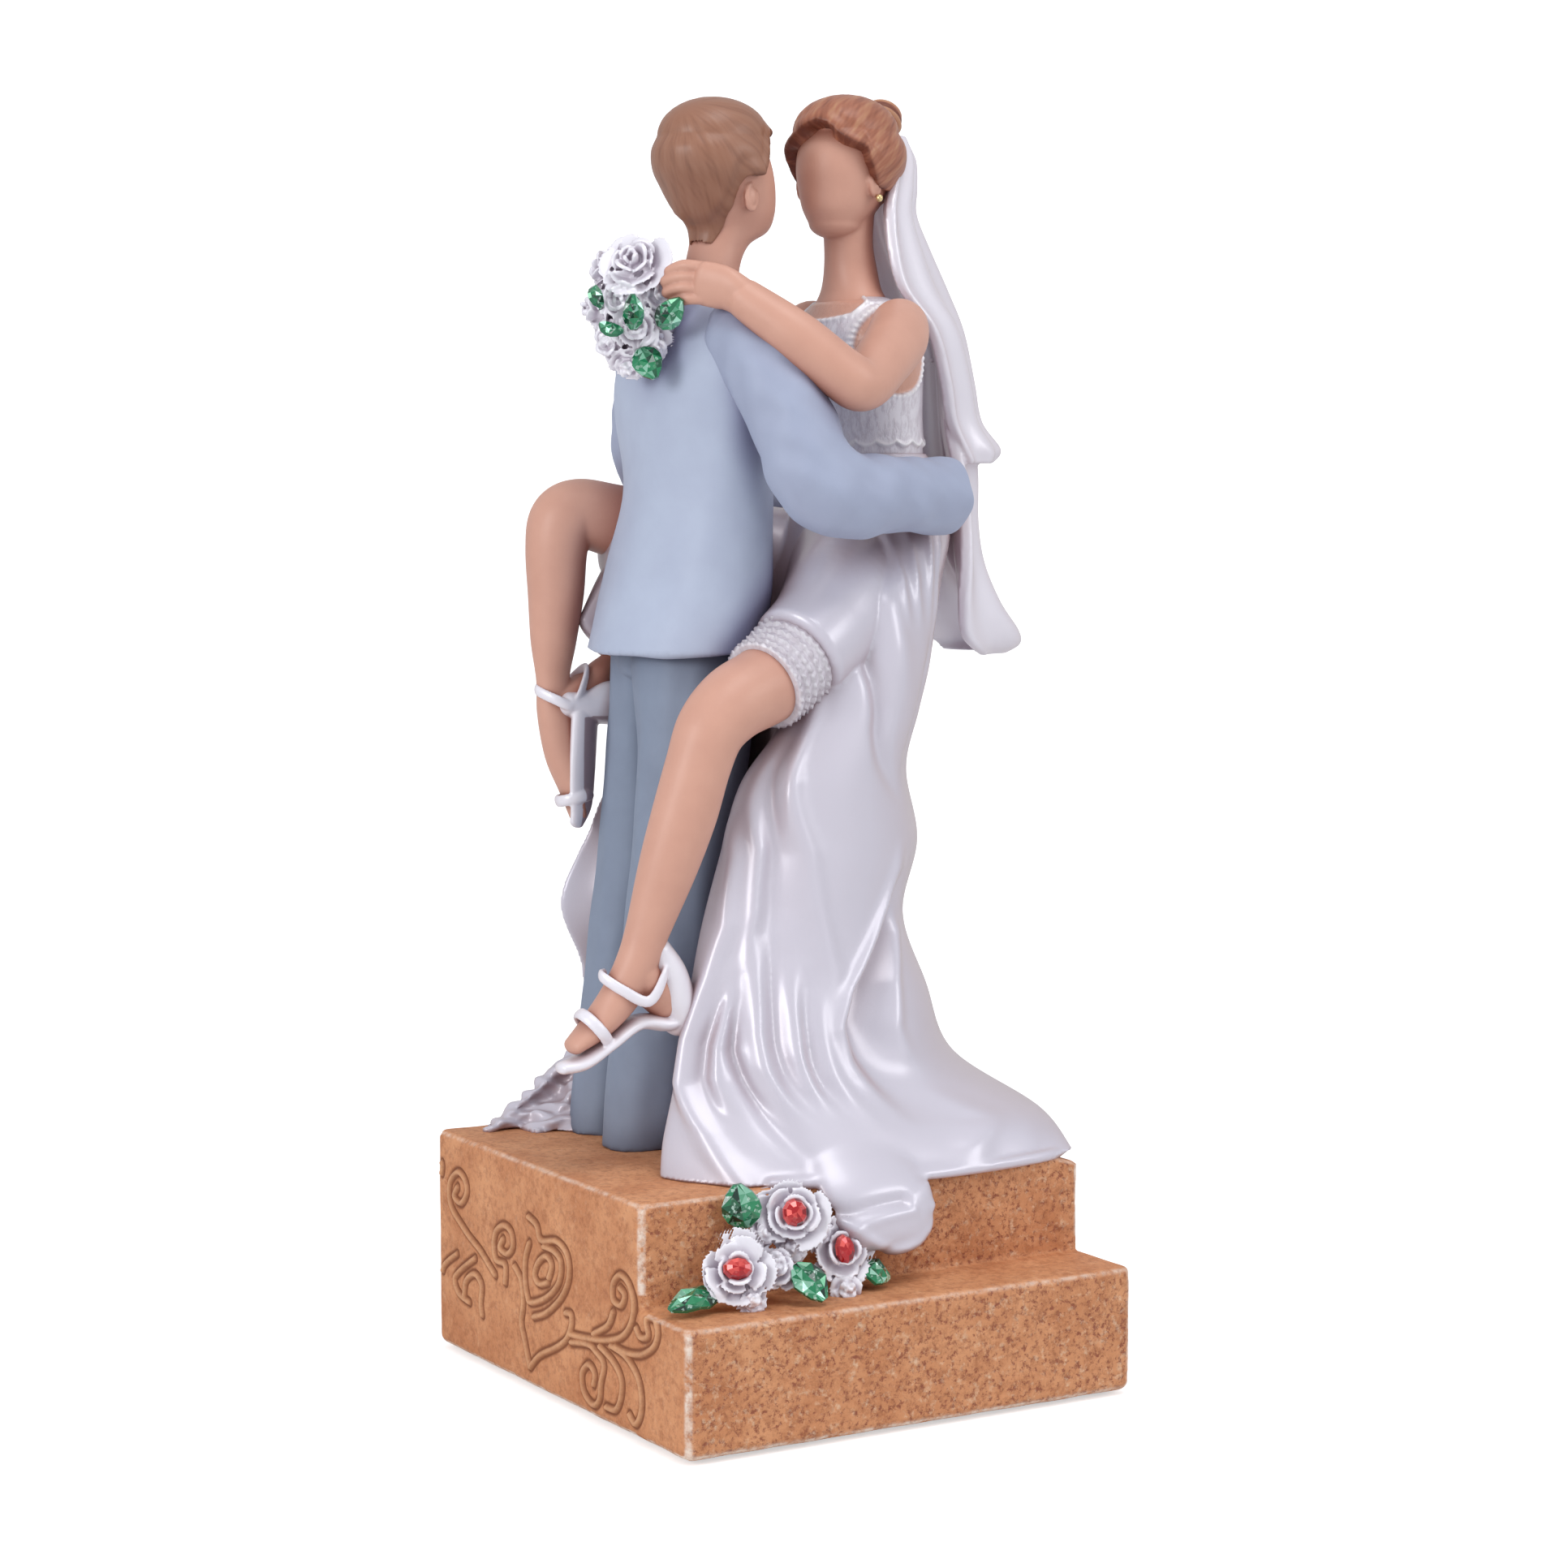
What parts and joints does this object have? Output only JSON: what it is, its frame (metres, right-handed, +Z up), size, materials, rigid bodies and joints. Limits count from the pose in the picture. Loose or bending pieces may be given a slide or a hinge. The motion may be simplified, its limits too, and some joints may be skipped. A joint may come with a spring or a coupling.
{
  "type": "wedding cake topper",
  "caption": "Cast resin couple embracing on a two-step block, the veiled bride lifting both knees round the groom; roses with red stones on the lower step.",
  "frame": {"origin": "middle of the felt underside of the base", "axes": "+Z up; +X along the steps, from the groom towards the bride; -Y is the front, which the risers face"},
  "size_m": [0.0933, 0.0835, 0.1942],
  "materials": {
    "cast_stone": "speckled sandstone-coloured cast resin with pale rubbed edges",
    "felt": "thin brown felt",
    "jacket_paint": "satin pale blue-grey paint",
    "trouser_paint": "satin slate-grey paint",
    "skin_paint": "satin peach paint",
    "brown_hair_paint": "satin brown paint",
    "auburn_hair_paint": "satin auburn paint",
    "pearl_paint": "pearl white paint",
    "lace_paint": "white painted lace relief",
    "gold_paint": "gold paint",
    "rose_paint": "white paint",
    "leaf_glitter": "green glitter paint",
    "ruby_gem": "red acrylic faceted stone"
  },
  "bodies": {
    "root": {"stepped_base": "cast_stone", "felt_pad": "felt", "groom_trousers": "trouser_paint", "groom_jacket": "jacket_paint", "groom_right_sleeve": "jacket_paint", "groom_left_sleeve": "jacket_paint", "groom_head": "skin_paint", "groom_hair": "brown_hair_paint", "groom_right_hand": "skin_paint", "groom_left_hand": "skin_paint", "bride_left_arm": "skin_paint", "bride_right_arm": "skin_paint", "bride_head": "skin_paint", "bride_hair": "auburn_hair_paint", "bride_bun": "auburn_hair_paint", "bun_bead_band": "lace_paint", "bride_left_earring": "gold_paint", "bride_right_earring": "gold_paint", "bride_bodice": "lace_paint", "bride_left_leg": "skin_paint", "bride_right_leg": "skin_paint", "left_garter": "lace_paint", "left_shoe": "pearl_paint", "right_shoe": "pearl_paint", "bride_skirt": "pearl_paint", "bride_veil": "pearl_paint", "bouquet_roses": "rose_paint", "bouquet_leaf_1": "leaf_glitter", "bouquet_leaf_2": "leaf_glitter", "bouquet_leaf_3": "leaf_glitter", "bouquet_leaf_4": "leaf_glitter", "bouquet_leaf_5": "leaf_glitter", "rose_gem_1": "ruby_gem", "step_rose_1": "rose_paint", "rose_gem_2": "ruby_gem", "step_rose_2": "rose_paint", "rose_gem_3": "ruby_gem", "step_rose_3": "rose_paint", "step_leaf_1": "leaf_glitter", "step_leaf_2": "leaf_glitter", "step_leaf_3": "leaf_glitter", "step_leaf_4": "leaf_glitter"}
  },
  "joints": []
}
